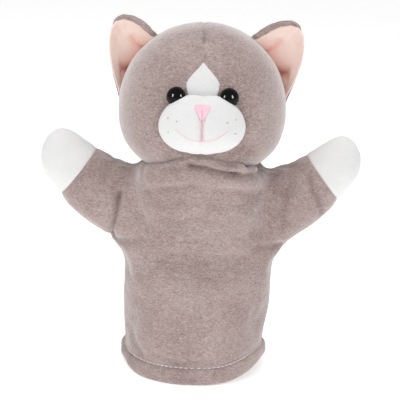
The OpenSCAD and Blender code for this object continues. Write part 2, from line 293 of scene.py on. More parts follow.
# %% [markdown]
# ## Finishes
# A finish is a small graph of shader nodes. `Value` wraps a socket so that a mask can be written as a sum, such
# as `grain * 0.3 + 0.5`, and `Finish.node` adds any other node from its type, its settings and its inputs.


# %% Sums of shader values
class Value:
    def __init__(self, socket):
        self.socket = socket
        self.nodes = socket.id_data

    def sum(self, operation, first, second):
        node = self.nodes.nodes.new("ShaderNodeMath")
        node.operation = operation
        for place, part in zip(node.inputs, (first, second)):
            if isinstance(part, Value):
                self.nodes.links.new(part.socket, place)
            else:
                place.default_value = part
        return Value(node.outputs[0])

    def __add__(self, other):
        return self.sum("ADD", self, other)

    def __sub__(self, other):
        return self.sum("SUBTRACT", self, other)

    def __mul__(self, other):
        return self.sum("MULTIPLY", self, other)

    def __pow__(self, other):
        return self.sum("POWER", self, other)


class Finish:
    def __init__(self, name, **constants):
        self.material = bpy.data.materials.new(name)
        self.material.use_nodes = True
        self.tree = self.material.node_tree
        self.shader = self.tree.nodes["Principled BSDF"]
        for key, value in constants.items():
            self.shader.inputs[key.replace("_", " ")].default_value = value

    def node(self, kind, settings=None, out=0, **inputs):
        node = self.tree.nodes.new("ShaderNode" + kind)
        for key, value in (settings or {}).items():
            if key == "stops":
                for stop in range(len(value) - 2):
                    node.color_ramp.elements.new(0.5)
                for element, (place, colour) in zip(node.color_ramp.elements, value):
                    element.position = place
                    element.color = (*colour, 1) if isinstance(colour, tuple) else (colour, colour, colour, 1)
            else:
                setattr(node, key, value)
        for key, value in inputs.items():
            self.feed(node.inputs[key], value)
        return Value(node.outputs[out])

    def feed(self, place, value):
        if isinstance(value, Value):
            self.tree.links.new(value.socket, place)
        else:
            place.default_value = value

    def set(self, **inputs):
        for key, value in inputs.items():
            self.feed(self.shader.inputs[key.replace("_", " ")], value)

    def where(self, stretch=(1, 1, 1)):
        place = self.node("TexCoord", out=3)
        return self.node("Mapping", Vector=place, Scale=stretch)

    def noise(self, place, scale, detail=3.0, roughness=0.55, warp=0.0):
        return self.node("TexNoise", Vector=place, Scale=scale, Detail=detail, Roughness=roughness,
                         Distortion=warp)


# %% [markdown]
# Velour is a knit with a short cut pile. One sees no single fibres, but a fine salt-and-pepper grain, soft
# brushed patches where the pile leans another way, and a pale edge where one looks along the pile. The grain
# and the patches go into colour and bump. The pale edge is the shader's sheen plus painted sheen: the colour
# is mixed towards a paler one where the cloth turns away, and the head's velour gets more of this painted
# sheen than the glove's. Folds are marked on the mesh and painted a little darker, as painted shade.


# %% Velour
def velour(name, dark, light, edge, grain=0.23, sheen=0.8, bump=0.6):
    f = Finish(name, Roughness=0.95, Sheen_Weight=sheen, Sheen_Roughness=0.35, Specular_IOR_Level=0.1)
    here = f.where()
    patches = f.noise(here, 30, 2, 0.5, 0.4)
    strokes = f.noise(f.where((0.5, 1, 1.6)), 420, 1, 0.5, 0.5)
    tufts = f.noise(f.where((0.7, 1, 1.3)), 900, 1, 0.5, 0.3)
    grains = f.noise(here, 1500, 1, 0.5)
    rows = f.noise(f.where((0.3, 0.3, 1)), 430, 1, 0.5, 0.7)
    pile = tufts * 0.6 + grains * 0.4
    # painted shade: the colour is made darker where the mesh is marked in its folds, seams and under the chin
    painted_fold_shade = f.node("Attribute", {"attribute_name": "fold"}, out=2)
    brushed = (strokes - 0.5) * (grain * 1.1) + (rows - 0.5) * (grain * 1.5) + (patches - 0.5) * 0.8
    mix = (pile - 0.5) * (grain * 10) + brushed + 0.5 - painted_fold_shade
    colour = f.node("ValToRGB", {"stops": [(0.0, dark), (1.0, light)]}, Fac=mix)
    # painted sheen: the colour is mixed towards a pale one where the cloth turns away, as much as edge says
    painted_sheen = f.node("LayerWeight", out=1, Blend=0.5) ** 2.6 * edge
    pale = f.node("MixRGB", Fac=painted_sheen, Color1=colour, Color2=(0.88, 0.82, 0.81, 1))
    height = f.node("Bump", Height=pile + strokes * 0.8, Strength=bump, Distance=0.0012)
    f.set(Base_Color=pale, Normal=height)
    return f.material


deep_grey, light_grey = (0.262, 0.184, 0.171), (0.55, 0.448, 0.427)
# edge is how much painted sheen each velour gets; the head's velour gets the most
grey_velour = velour("grey_velour", deep_grey, light_grey, edge=0.4)
head_velour = velour("head_velour", deep_grey, light_grey, edge=0.95)
white_velour = velour("white_velour", (0.76, 0.755, 0.752), (0.88, 0.878, 0.875), edge=0.0, grain=0.09,
                      sheen=0.15, bump=0.2)
print("velours made")

# %% [markdown]
# The ear lining is a finer, smoother plush in pale pink that gets deeper in the hollow, where it lies in its own
# shade. The eyes are polished black plastic, the nose and mouth shiny embroidery thread.


# %% Lining, thread, plastic and floor
def lining():
    f = Finish("pink_lining", Roughness=0.85, Sheen_Weight=0.25, Sheen_Roughness=0.5, Specular_IOR_Level=0.15)
    here = f.where()
    patches = f.noise(here, 70, 2, 0.5)
    grains = f.noise(here, 1100, 2, 0.6)
    # painted shade: the lining is darker where the ear is marked hollow, near its base and in its creases
    depth = f.node("Attribute", {"attribute_name": "hollow"}, out=2)
    mix = (grains - 0.5) * 0.5 + (patches - 0.5) * 0.35 + 1 - depth
    stops = [(0.0, (0.62, 0.25, 0.19)), (0.45, (0.94, 0.56, 0.47)), (1.0, (1.0, 0.80, 0.725))]
    colour = f.node("ValToRGB", {"stops": stops}, Fac=mix)
    f.set(Base_Color=colour, Normal=f.node("Bump", Height=grains, Strength=0.2, Distance=0.0008))
    return f.material


def thread(name, dark, light):
    f = Finish(name, Roughness=0.5, Sheen_Weight=0.2, Specular_IOR_Level=0.4)
    grains = f.noise(f.where((1, 1, 0.3)), 900, 2, 0.6)
    colour = f.node("ValToRGB", {"stops": [(0.25, dark), (0.75, light)]}, Fac=grains)
    f.set(Base_Color=colour, Normal=f.node("Bump", Height=grains, Strength=0.3, Distance=0.0004))
    return f.material


def plastic(name, colour, roughness):
    f = Finish(name, IOR=1.24)
    wear = f.noise(f.where(), 240, 3)
    tone = f.node("ValToRGB", {"stops": [(0.0, colour), (1.0, tuple(c * 1.3 for c in colour))]}, Fac=wear)
    f.set(Base_Color=tone, Roughness=wear * 0.04 + roughness)
    return f.material


def paper():
    f = Finish("floor_paper", Roughness=0.9, Specular_IOR_Level=0.1, Emission_Color=(1, 1, 1, 1),
               Emission_Strength=0.53)
    f.set(Base_Color=f.node("ValToRGB", {"stops": [(0.0, 0.93), (1.0, 0.96)]}, Fac=f.noise(f.where(), 6)))
    return f.material


pink_lining = lining()
pink_thread = thread("pink_thread", (0.88, 0.52, 0.64), (1.0, 0.70, 0.80))
rose_thread = thread("rose_thread", (0.76, 0.33, 0.43), (0.92, 0.52, 0.61))
pale_thread = thread("pale_thread", (0.90, 0.56, 0.64), (0.97, 0.70, 0.76))
grey_thread = thread("grey_thread", (0.20, 0.16, 0.155), (0.36, 0.29, 0.28))
pale_grey_thread = thread("pale_grey_thread", (0.66, 0.59, 0.58), (0.86, 0.80, 0.79))
dot_thread = thread("dot_thread", (0.42, 0.41, 0.42), (0.62, 0.61, 0.62))
eye_plastic = plastic("eye_plastic", (0.004, 0.0035, 0.0035), 0.03)
washer_plastic = plastic("washer_plastic", (0.72, 0.72, 0.70), 0.4)
floor.data.materials.append(paper())
print("finishes made")


# %% Put a finish and a slot on a piece
def dress(thing, material):
    thing.data.materials.clear()
    thing.data.materials.append(material)
    print(thing.name, len(thing.data.polygons), "faces")


# %% [markdown]
# ## Cloth simulation
# Cloth over stuffing swells between its seams and sags a little where nothing holds it. The mesh is rebuilt in
# even small faces, blown up a little by Blender's cloth solver with the seams held still, and no point may move
# further than a cap, so that the piece stays in its place.


# %% Helper: let a piece settle as cloth
def settle(thing, held, cap, pressure, grow, bending, frames=20):
    before = points(thing)
    weigh(thing, "held", held, 0.01)
    pick(thing)
    cloth = thing.modifiers.new("Cloth", "CLOTH")
    s = cloth.settings
    s.quality = 6
    s.mass = 0.2
    s.tension_stiffness = s.compression_stiffness = 12
    s.shear_stiffness = 6
    s.bending_stiffness = bending
    s.use_pressure = True
    s.uniform_pressure_force = pressure
    s.shrink_min = -grow
    s.vertex_group_mass = "held"
    s.effector_weights.gravity = 0
    cloth.collision_settings.use_collision = False
    scene = bpy.context.scene
    for number in range(1, frames + 1):
        scene.frame_set(number)
    bpy.ops.object.modifier_apply(modifier=cloth.name)
    scene.frame_set(1)
    moved = points(thing) - before
    far = np.linalg.norm(moved, axis=1, keepdims=True)
    move_to(thing, before + moved * np.minimum(1, cap / np.maximum(far, 1e-6)))
    thing.vertex_groups.clear()
    print(thing.name, "settled by", round(float(far.mean()), 2), "mm, at most", round(float(far.max()), 1))


# %% [markdown]
# The cloth of the glove goes up to the head and is gathered under it, so the head's own outline is needed first:
# full at the cheeks, round at the crown, and drawn in at the jaw.

# %% Outline of the head at any height
cheek = 189.0
jaw = 146.0
head_power = 2.2
jaw_power = 2.65


def head_section(z):
    """Half width and half depth of the head at a height."""
    up = np.clip((z - cheek) / (crown - cheek), 0, 1)
    down = np.clip((cheek - z) / (cheek - jaw), 0, 1)
    share = np.where(z >= cheek, np.sqrt(1 - up**2), (1 - down**jaw_power) ** (1 / jaw_power))
    full, flat = (head_half_depth + 2) / head_half_width, head_half_depth / head_half_width
    ratio = np.interp(z, [150, 154, 160, 170, 182], [0.95, 0.94, 0.91, full, flat])
    return head_half_width * share, head_half_width * share * ratio


# %% [markdown]
# ## The glove's body
# On the real puppet the front and back panels run straight into the sleeves, with only a side seam. So torso
# and both sleeves are first made as one form: an oval tube raised section by section, and a cone for each
# sleeve, fused by a voxel remesh. Fusing gives the soft bridge at the armpit that separate tubes would lack.

# %% Sections of the oval tube: height, share of the width, share of the depth
glove_sections = [(-6, 0.97, 0.98), (0, 0.98, 1.0), (6, 0.985, 1.01), (12, 0.985, 1.02), (18, 0.985, 1.01),
                  (30, 0.985, 1.0), (42, 0.99, 0.995), (54, 1.015, 0.99), (70, 1.03, 0.99), (82, 1.035, 0.975),
                  (95, 1.01, 0.96), (105, 1.0, 0.95), (115, 0.97, 0.94), (123, 0.95, 0.94), (130, 0.93, 0.95),
                  (136, 0.9, 0.965)]
glove_power = 2.3
collar_steps = [0.12, 0.25, 0.38, 0.5, 0.62, 0.74, 0.85, 0.94, 1.0, 1.02, 1.0]
tuck_steps = [0, 0, 0, 0, 0, 0, 0, 0, 0.4, 2.0, 4.5]


def collar_top(angle):
    """The cloth reaches highest under the chin and lowest over the shoulders."""
    forward = np.maximum(0, -np.sin(angle))
    return 152.5 + 9 * forward**1.5 + 6 * forward**8 + 3 * np.maximum(0, np.sin(angle)) ** 2


def tube(name, rings, around):
    """A capped tube of many rings, with each point's ring and angle, ready to be shaped by a rule."""
    bpy.ops.mesh.primitive_circle_add(vertices=around, radius=0.001, fill_type="NGON")
    thing = named(name)
    with editing(thing):
        for _ in range(rings - 1):
            bpy.ops.mesh.extrude_region_move(TRANSFORM_OT_translate={"value": (0, 0, 0.001)})
    at = points(thing)
    return thing, np.round(at[:, 2]).astype(int), np.arctan2(at[:, 1], at[:, 0])


body, ring, angle = tube("glove_body", len(glove_sections) + len(collar_steps), 112)
sections = np.array(glove_sections)
low = sections[np.minimum(ring, len(sections) - 1)]
x, y = oval(angle, glove_half_width * low[:, 1], glove_half_depth * low[:, 2], glove_power)
z = low[:, 0]
collar = ring >= len(sections)
step_at = np.maximum(ring - len(sections), 0)
share = np.array(collar_steps)[step_at]
top = collar_top(angle)
wide, deep = head_section(top)
tuck = np.array(tuck_steps)[step_at]
hx, hy = oval(angle, wide - tuck, deep - tuck, head_power)
mix = np.clip(share, 0, 1)
full = (2.0 + 2.6 * np.maximum(0, -np.sin(angle)) ** 3) * np.sin(math.pi * mix**1.6) ** 0.9
cx, cy = x + (hx - x) * mix + full * np.cos(angle), y + (hy - y) * mix + full * np.sin(angle)
cz = sections[-1, 0] + (top - sections[-1, 0]) * share
move_to(body, np.where(collar[:, None], columns(cx, cy, cz), columns(x, y, z)))
outward(body)
print(body.name, len(body.data.vertices), "points")

# %% The arm's outline, from its root inside the torso to the paw's tip
seam_at = 44.0
shoulder = lift_at - 9 * arm_axis
# distance along the arm, shift of the middle towards the arm's upper side, radius
arm_line = np.array([
    (-24, 1.0, 19.0), (-12, 1.5, 22.0), (-4, 1.4, 24.8), (4, 1.0, 25.6), (12, 0.4, 25.2), (20, -0.9, 24.4),
    (26, -1.8, 23.0), (32, -2.1, 22.0), (38, -2.1, 21.1), (44, -1.6, 19.7), (50, -1.1, 18.9), (56, -0.5, 18.0),
    (60, 0.1, 17.3), (64, 0.8, 16.2), (68, 2.0, 14.3), (71, 2.9, 11.9), (73, 3.4, 9.4), (74.6, 3.8, 6.0),
    (75.6, 4.0, 0.1)])


def along_arm(places, side):
    """How far each place is along the arm, and the same place as seen from its axis."""
    local = places * np.array([side, 1, 1]) - shoulder
    return local @ arm_axis, local @ arm_up, local[:, 1]


def arm_reach(places):
    """How far each place is along its own arm, and 0 in the torso."""
    left = along_arm(places, 1)[0] * (places[:, 0] > 40)
    return np.maximum(left, along_arm(places, -1)[0] * (places[:, 0] < -40))


def arm_place(far, angle, side, inset=0.0):
    middle_at = read_off(arm_line, far)
    fuller = -0.5 * side * step(75.6, 66, far)
    radius = np.maximum(read_off(arm_line, far, 2) + fuller - inset, 0)
    places = shoulder + far[:, None] * arm_axis + (middle_at + radius * np.cos(angle))[:, None] * arm_up
    places[:, 1] = radius * np.sin(angle) * 0.97
    return places * (side, 1, 1)


cones = []
for side in (1, -1):
    sleeve, ring, angle = tube("sleeve_tube", 15, 96)
    move_to(sleeve, arm_place(arm_line[0, 0] + 5.6 * ring, angle, side))
    outward(sleeve)
    cones.append(sleeve)
pick(body, *cones)
bpy.ops.object.join()
finish_with(body, "REMESH", mode="VOXEL", voxel_size=0.003, use_smooth_shade=True)
finish_with(body, "SMOOTH", factor=0.5, iterations=3)
print("fused body", len(body.data.vertices), "points")

# %% [markdown]
# Before the cloth settles, the join of torso and sleeve is eased: the cloth bridges it in a soft curve. Then the
# solver lets the glove grow by a few percent with its hem, neck and cuffs held, which gives the slack and the
# faint buckles of an empty glove. Below the armpits the buckles are smoothed again, because a hand fills it.

# %% Ease the armpit and settle the glove
def drawn_in(places):
    """The glove is a little narrower towards the hem on the puppet's left."""
    places = places.copy()
    places[:, 0] -= 4.2 * step(76, 14, places[:, 2]) * np.clip(places[:, 0] / 53, 0, 1.1)
    return places


at = points(body)
armpit = bell((at[:, 2] - 93) / 8, (np.abs(at[:, 0]) - 55) / 9)
at[:, 0] += np.where(at[:, 0] < 0, -6.5, 5.0) * armpit
move_to(body, drawn_in(at))
at = points(body)
ease = np.zeros(len(at))
for side in (1, -1):
    far, up, out = along_arm(at, side)
    near = bell((far - 4) / 16) * (np.hypot(up, out) < 40)
    ease = np.maximum(ease, near)
ease = np.maximum(ease, bell((at[:, 2] - 137) / 6) * (np.abs(at[:, 0]) < 52))
ease = np.maximum(ease, bell((np.abs(at[:, 0]) - 47) / 8, (at[:, 2] - 139) / 12))
weigh(body, "ease", ease)
finish_with(body, "SMOOTH", factor=0.9, iterations=9, vertex_group="ease")
body.vertex_groups.clear()

at = points(body)
held = np.maximum.reduce([1 - step(12, 20, at[:, 2]), step(134, 140, at[:, 2]) * (np.abs(at[:, 0]) < 50),
                          step(38, 44, arm_reach(at))])
settle(body, held, cap=2.2, pressure=0.6, grow=0.03, bending=1.0)
weigh(body, "low", step(96, 84, points(body)[:, 2]))
finish_with(body, "SMOOTH", factor=0.7, iterations=8, vertex_group="low")
body.vertex_groups.clear()
subdivide(body)
print("glove body", len(body.data.vertices), "points")

# %% [markdown]
# Now the folds that a hand or a stand inside the glove causes: a soft pull from the chin to each shoulder, a
# short crease at the armpits, and a slow unevenness all over. Each is a shallow valley with a raised lip. The
# side seams, the cuffs, the collar's rim and the hem stitching pull shallow grooves of their own.

# %% Press the folds of the front
def hem_lift(angle):
    return 6 * (np.maximum(0, np.abs(np.cos(angle)) - 0.75) / 0.25) ** 2


def hem_tilt(angle):
    """The hem of the real glove hangs unevenly: it is drawn up at the front on the puppet's left."""
    return 6.5 * bell((angle + 0.55) / 0.5)


def sewn_line(angle):
    """The height of the hem's stitching."""
    return hem_top + 2.0 + hem_tilt(angle)


folds = [
    # line of places (x, z) on the front, depth, width
    ([(-6, 161), (4, 159), (13, 156.5), (24, 154)], 3.0, 2.3),
    ([(22, 154.5), (32, 152.5), (42, 151)], 2.0, 2.5),
    ([(-24, 157), (-15, 158.5), (-8, 161)], 1.0, 2.4),
    ([(27, 167), (29, 163), (30, 159)], 1.8, 1.5),
    ([(12, 166), (17, 162), (22, 160)], 1.4, 1.5),
    ([(-54, 133), (-56, 121), (-59, 109), (-61, 99)], 3.0, 2.2),
    ([(-58, 97), (-48, 100), (-38, 105)], 1.2, 2.4),
    ([(-54, 92), (-50, 84), (-49, 76)], 1.0, 3.0),
    ([(56, 97), (48, 98), (40, 101)], 1.0, 2.4),
    ([(59, 138), (56, 124), (57, 108)], 1.2, 3.2),
    ([(73, 146), (79, 134), (84, 122)], 2.0, 3.0),
    ([(-34, 138), (-18, 144), (-4, 146)], 1.1, 3.6),
    ([(10, 144), (26, 141), (38, 136)], 0.9, 3.6),
    ([(-48, 34), (-43, 24), (-38, 18)], 0.6, 3.4),
    ([(-30, 22), (-10, 17), (6, 19)], 0.7, 2.6),
]
at, out = points(body), normals(body)
flat = at[:, [0, 2]]
front = step(4, -6, at[:, 1])
push = np.zeros(len(at))
painted_fold_shade = np.zeros(len(at))
for line, depth, width in folds:
    here = valley(flat, line, width) * front
    push -= 1.4 * depth * here
    # painted shade: the middle of each fold is marked for a darker colour
    painted_fold_shade = np.maximum(painted_fold_shade, 0.16 * depth * valley(flat, line, 0.8 * width) * front)
    push += 0.4 * depth * valley(flat, np.array(line) + (1.1 * width, 1.6 * width), 1.2 * width) * front
push += 0.7 * ripple(at, 50, 3) + 0.3 * ripple(at, 22, 5)
around = np.arctan2(at[:, 1], at[:, 0])
rim = collar_top(around)
gathers = np.sin(around * 23 + 2 * np.sin(around * 3)) * bell((at[:, 2] - rim + 5) / 5)
push += 0.4 * gathers * (np.abs(at[:, 0]) < 52)
side_seam = bell(at[:, 1] / 1.2) * (np.abs(at[:, 0]) > 30)
push -= 0.55 * side_seam
push *= step(11, 18, at[:, 2])
push -= 0.4 * bell((at[:, 2] - sewn_line(around)) / 1.5)
push -= 0.5 * bell((arm_reach(at) - seam_at) / 1.2)
above_rim = at[:, 2] - rim - 1.0
near_neck = np.abs(at[:, 0]) < 60
push -= 2.2 * bell(above_rim / 2.0) * near_neck
move_to(body, at + out * push[:, None])
# painted shade: the folds and the collar's rim under the chin are marked darker
mark(body, "fold", np.maximum(painted_fold_shade, 0.45 * bell(above_rim / 1.6) * near_neck))
print("deepest fold", round(float(push.min()), 2), "mm")

# %% [markdown]
# ## Cutting the form into its pieces
# On the puppet the neck moves with the head and the sleeves with the arms, so the form is cut where one starts
# to follow the other. The cloth is one smooth surface there, and each piece keeps the normals of the uncut form,
# so the cuts don't show. Every piece then gets the thickness of the velour, inward. The neck also keeps a narrow
# seam allowance under each shoulder's cloth, as sewn cloth does, so that no gap opens when the head nods.

# %% Helpers: cut by a plane, keep one side, give it thickness
def keep_normals(thing):
    layer = thing.data.attributes.new("whole_normal", "FLOAT_VECTOR", "POINT")
    layer.data.foreach_set("vector", normals(thing).ravel())


def copy_of(thing, name):
    pick(thing)
    bpy.ops.object.duplicate()
    return named(name)


def cut(thing, place, direction, keep_beyond=True):
    """Keeps what lies beyond the plane through place, or before it."""
    with editing(thing):
        bpy.ops.mesh.bisect(plane_co=tuple(np.array(place) / 1000), plane_no=tuple(direction),
                            clear_inner=keep_beyond, clear_outer=not keep_beyond)


cloth_thickness = 1.6


def give_thickness(thing):
    finish_with(thing, "SOLIDIFY", thickness=cloth_thickness / 1000, offset=-1, use_rim=True,
                use_quality_normals=True)
    smooth(thing)
    mesh = thing.data
    whole = read(mesh.attributes["whole_normal"].data, "vector", np.float32)
    whole = whole / np.maximum(np.linalg.norm(whole, axis=1, keepdims=True), 1e-6)
    wanted = whole[read(mesh.loops, "vertex_index", np.int32, 1)]
    count = read(mesh.polygons, "loop_total", np.int32, 1)
    facing = np.repeat(read(mesh.polygons, "normal", np.float32), count, axis=0)
    wanted[(facing * wanted).sum(axis=1) < 0.5] = 0
    mesh.normals_split_custom_set([tuple(n) for n in wanted.tolist()])
    mesh.attributes.remove(mesh.attributes["whole_normal"])


keep_normals(body)

# %% Where the pieces meet
torso_to_shoulder = np.array([1, 0, 0.3])
shoulder_to_sleeve = np.array([1, 0, 0.5])
shoulder_starts, shoulder_turns = 87.0, 102.5
sleeve_starts, sleeve_turns = 133.5, 150.0
neck_starts, neck_turns = 136.0, 159.0


def on_plane(direction, level):
    return direction * level / (direction @ direction)


def clear_tucked(thing, deep=2.6):
    """Opens the cloth where it is tucked under the head, along a line a little inside the head."""
    at = points(thing)
    wide, deep_there = head_section(at[:, 2])
    across = np.abs(at[:, 0] / np.maximum(wide, 1)) ** head_power
    along = np.abs(at[:, 1] / np.maximum(deep_there, 1)) ** head_power
    inside = (1 - (across + along) ** (1 / head_power)) * wide - deep
    pick(thing)
    for face in thing.data.polygons:
        face.select = bool(min(inside[list(face.vertices)]) > 0)
    bpy.ops.object.mode_set(mode="EDIT")
    bpy.ops.mesh.select_mode(type="FACE")
    bpy.ops.mesh.delete(type="FACE")
    bpy.ops.object.mode_set(mode="OBJECT")
    print(thing.name, "opened at the top,", len(thing.data.vertices), "points left")


# %% The torso, its neck and the sleeves
torso = copy_of(body, "glove_cloth")
cut(torso, (0, 0, hem_top - 1.5), (0, 0, 1))
neck = copy_of(torso, "neck_cloth")
cut(torso, (0, 0, neck_starts), (0, 0, 1), keep_beyond=False)
cut(neck, (0, 0, neck_starts), (0, 0, 1))
for part in (torso, neck):
    for side in (1, -1):
        direction = torso_to_shoulder * (side, 1, 1)
        cut(part, on_plane(direction, shoulder_starts), direction, keep_beyond=False)
laps = []
for side in (1, -1):
    direction = torso_to_shoulder * (side, 1, 1)
    lap = copy_of(body, "seam_allowance")
    cut(lap, on_plane(direction, shoulder_starts - 3), direction)
    cut(lap, on_plane(direction, shoulder_starts + 6), direction, keep_beyond=False)
    cut(lap, (0, 0, neck_starts + 2), (0, 0, 1))
    move_to(lap, points(lap) - 2.1 * normals(lap))
    laps.append(lap)
pick(neck, *laps)
bpy.ops.object.join()
clear_tucked(neck)
pieces = {}
for side, word in sides:
    near = torso_to_shoulder * (side, 1, 1)
    far = shoulder_to_sleeve * (side, 1, 1)
    ring = copy_of(body, f"{word}_shoulder_cloth")
    cut(ring, on_plane(near, shoulder_starts), near)
    sleeve = copy_of(ring, f"{word}_sleeve_cloth")
    cut(ring, on_plane(far, sleeve_starts), far, keep_beyond=False)
    cut(sleeve, on_plane(far, sleeve_starts), far)
    end = (shoulder + arm_axis * seam_at) * (side, 1, 1)
    cut(sleeve, end, arm_axis * (side, 1, 1), keep_beyond=False)
    pieces[word] = (ring, sleeve)
bpy.data.objects.remove(body)
for part in (torso, neck, *pieces["left"], *pieces["right"]):
    give_thickness(part)
    dress(part, grey_velour)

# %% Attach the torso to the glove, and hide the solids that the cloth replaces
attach(torso, "glove")
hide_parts("front_panel", "back_panel")
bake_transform(neck)
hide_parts("neck_front", "neck_back")
for side, word in sides:
    ring, sleeve = pieces[word]
    near = torso_to_shoulder * (side, 1, 1)
    far = shoulder_to_sleeve * (side, 1, 1)
    on_plane(near, shoulder_starts) / 1000
    on_plane(near, shoulder_turns) / 1000
    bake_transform(ring)
    on_plane(far, sleeve_starts) / 1000
    on_plane(far, sleeve_turns) / 1000
    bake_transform(sleeve)
    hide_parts(f"{word}_shoulder_front", f"{word}_shoulder_back")
    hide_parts(f"{word}_sleeve_front", f"{word}_sleeve_back")

# %% [markdown]
# ## The hem
# The hem is the bottom edge folded up inside and stitched. Seen from outside it is a soft band, a little
# thicker than the panel, with a round lower edge. It is made by carrying one closed profile round the glove.


# %% Hem band
def hem_outline(angle, z, out):
    wide = glove_half_width * read_off(sections, z)
    deep = glove_half_depth * read_off(sections, z, 2)
    x, y = oval(angle, wide + out, deep + out, glove_power)
    return drawn_in(columns(x, y, z))


def ring_surface(name, profile, around, place):
    """A closed profile carried round a closed path: place(share of profile, angle) gives each point."""
    bpy.ops.mesh.primitive_torus_add(major_segments=around, minor_segments=len(profile), major_radius=0.05,
                                     minor_radius=0.01)
    ring = named(name)
    angle = np.repeat(np.arange(around) * 2 * math.pi / around, len(profile))
    angle = np.arctan2(np.sin(angle), np.cos(angle))
    order = np.tile(np.arange(len(profile)), around)
    move_to(ring, place(np.array(profile)[order], angle))
    outward(ring)
    smooth(ring)
    return ring


# distance outside the glove, share of the band's height
hem_profile = [(0.1, 1.04), (0.6, 0.99), (1.0, 0.9), (1.25, 0.75), (1.3, 0.55), (1.2, 0.35), (1.0, 0.17),
               (0.4, 0.04), (-0.6, 0.0), (-1.8, 0.03), (-2.7, 0.14), (-3.0, 0.35), (-3.0, 0.6), (-2.9, 0.85),
               (-2.2, 1.0), (-0.9, 1.06)]


def hem_place(profile, angle):
    low, tilt = hem_lift(angle), hem_tilt(angle)
    z = low + tilt + (hem_top + 0.4 - low) * profile[:, 1]
    flare = 2.2 * np.abs(np.cos(angle)) ** 9 * np.sin(math.pi * np.clip(profile[:, 1], 0.0, 1)) ** 0.5
    slack = 0.3 * np.sin(angle * 17 + 3 * np.sin(2 * angle)) * np.sin(math.pi * np.clip(profile[:, 1], 0, 1))
    return hem_outline(angle, z, profile[:, 0] + flare + slack * (profile[:, 0] > 0))


hem = ring_surface("hem_band", hem_profile, 256, hem_place)
dress(hem, grey_velour)
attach(hem, "glove")
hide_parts("front_hem", "back_hem")

# %% Stitches of the hem, one modelled and then copied round
stitch_count = 100
cloth_at, cloth_out = points(torso), normals(torso)
outside = (cloth_at[:, 2] < 40) & ((cloth_at * cloth_out)[:, :2].sum(axis=1) > 0)
cloth_at, cloth_out = cloth_at[outside], cloth_out[outside]
bpy.ops.mesh.primitive_uv_sphere_add(segments=8, ring_count=5, radius=1)
stitch = named("hem_stitches")
at = points(stitch) / 1000 * (1.55, 0.6, 0.42)
stitches = [stitch]
for number in range(stitch_count):
    turn = -math.pi + 2 * math.pi * (number + 0.5) / stitch_count
    angle = np.array([turn, turn + 0.02])
    here, ahead = hem_outline(angle, sewn_line(angle), 0.3)
    along = (ahead - here) / np.linalg.norm(ahead - here)
    nearest = np.argmin(np.linalg.norm(cloth_at - here, axis=1))
    outward_way = cloth_out[nearest]
    here = here + outward_way * ((cloth_at[nearest] - here) @ outward_way + 0.3)
    side = np.cross(along, [0, 0, 1.0])
    if number:
        stitches.append(copy_of(stitch, "stitch"))
    move_to(stitches[-1], here + at[:, :1] * along + at[:, 1:2] * side + at[:, 2:] * np.array([0, 0, 1.0]))
pick(*stitches)
bpy.ops.object.join()
smooth(stitch)
dress(stitch, pale_grey_thread)
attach(stitch, "glove")
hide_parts("hem_stitching")

# %% [markdown]
# ## The head
# The head is four velour panels round polyester stuffing: two for the face, two for the back. It starts as a
# sphere that is pushed to the head's outline, full at the cheeks and round at the jaw. Then the cloth solver
# blows it up a little with the seams held, so each panel swells between its seams as a stuffed one does.

# %% Head form
bpy.ops.mesh.primitive_uv_sphere_add(segments=96, ring_count=64, radius=0.05)
head = named("head_form")
at = points(head)
unit = at / np.linalg.norm(at, axis=1, keepdims=True)
z = cheek + np.where(unit[:, 2] >= 0, crown - cheek, cheek - jaw) * unit[:, 2]
wide, deep = head_section(z)
x, y = oval(np.arctan2(unit[:, 1], unit[:, 0]), wide, deep, head_power)
move_to(head, columns(x, y, z))
finish_with(head, "REMESH", mode="VOXEL", voxel_size=0.004, use_smooth_shade=True)
at = points(head)
held = np.maximum.reduce([bell(at[:, 0] / 3), bell(at[:, 1] / 3), 1 - step(150, 158, at[:, 2])])
settle(head, held, cap=1.8, pressure=4, grow=0.0, bending=2)
subdivide(head)
finish_with(head, "SMOOTH", factor=0.5, iterations=3)
print("head form", len(head.data.vertices), "points")

# %% [markdown]
# The muzzle covers the lower face, so its outline is needed next: it is a wide bean, narrow under the nose and
# broad at the smile. The same outline presses a shallow seam into the face, so that the muzzle sits in it.

# %% Outline of the muzzle
muzzle_middle = 186.0
# degrees above level, distance from the middle to the outline
muzzle_line = [(-90, 17.0), (-60, 18.8), (-36, 23.6), (-23, 26.3), (-10, 27.9), (1, 28.0), (15, 26.9),
               (33, 24.9), (62, 21.9), (90, 19.0)]


def muzzle_span(angle):
    lifted = np.degrees(angle)
    lifted = np.where(lifted > 90, 180 - lifted, np.where(lifted < -90, -180 - lifted, lifted))
    return read_off(muzzle_line, lifted)


# %% Press the seams into the head
head_creases = [
    # line of places (x, z) on the face, depth, width
    ([(0.5, 247), (0.3, 242), (0, 237)], 1.7, 1.5),
    ([(19, 166), (24, 169), (28, 173)], 1.1, 1.5),
    ([(23, 163), (28, 166), (32, 171)], 0.9, 1.5),
]
at, out = points(head), normals(head)
front = at[:, 1] < 0
radius = np.hypot(at[:, 0], at[:, 2] - muzzle_middle)
share = radius / muzzle_span(np.arctan2(at[:, 2] - muzzle_middle, at[:, 0]))
push = -0.9 * bell(at[:, 1] / 1.1)
push -= 0.6 * bell(at[:, 0] / 1.0) * np.where(front, step(230, 240, at[:, 2]), 1)
marks = np.zeros(len(at))
for line, depth, width in head_creases:
    marks = np.maximum(marks, depth * valley(at[:, [0, 2]], line, width) * front)
muzzle_seam = bell((share - 1) * 26 / 2.4) * front * (at[:, 1] < -20)
push -= marks + 1.3 * muzzle_seam
push += 0.4 * ripple(at, 40, 11) + 0.2 * ripple(at, 17, 12)
move_to(head, at + out * push[:, None])
